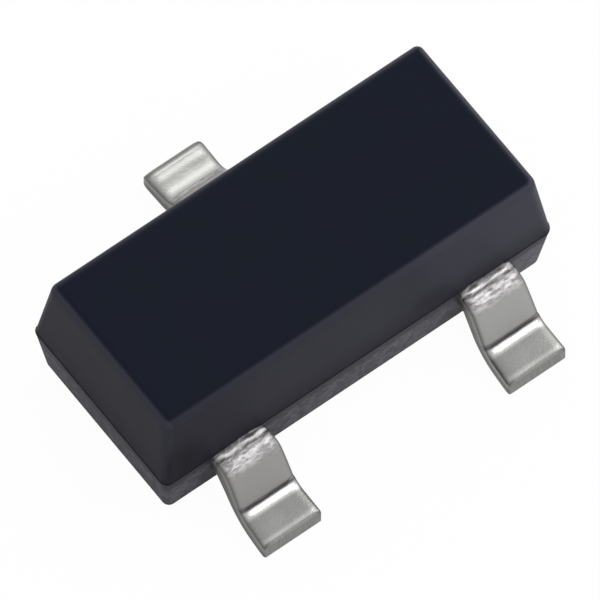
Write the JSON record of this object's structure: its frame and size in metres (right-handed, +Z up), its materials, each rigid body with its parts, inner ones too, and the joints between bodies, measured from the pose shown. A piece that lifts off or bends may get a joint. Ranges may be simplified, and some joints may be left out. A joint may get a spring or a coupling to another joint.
{
  "type": "voltage supervisor ic",
  "caption": "Small black epoxy chip package with gull-wing solder leads on both long sides.",
  "frame": {"origin": "middle of the footprint on the board, at the height of the lead undersides", "axes": "+X along the body's long side towards pin 2, +Y towards pin 3, +Z up from the board"},
  "size_m": [0.003, 0.0026, 0.0011],
  "materials": {
    "epoxy": "moulded black epoxy, fine matte",
    "tin": "matte tin plate on copper alloy",
    "silver_epoxy": "silver-filled adhesive",
    "silicon": "polished silicon under a glassy top coat",
    "gold": "drawn gold wire"
  },
  "bodies": {
    "root": {"mould_body": "epoxy", "lead_reset": "tin", "lead_supply": "tin", "lead_ground": "tin", "die_attach": "silver_epoxy", "silicon_die": "silicon", "wire_reset": "gold", "wire_supply": "gold", "wire_ground": "gold"}
  },
  "joints": []
}
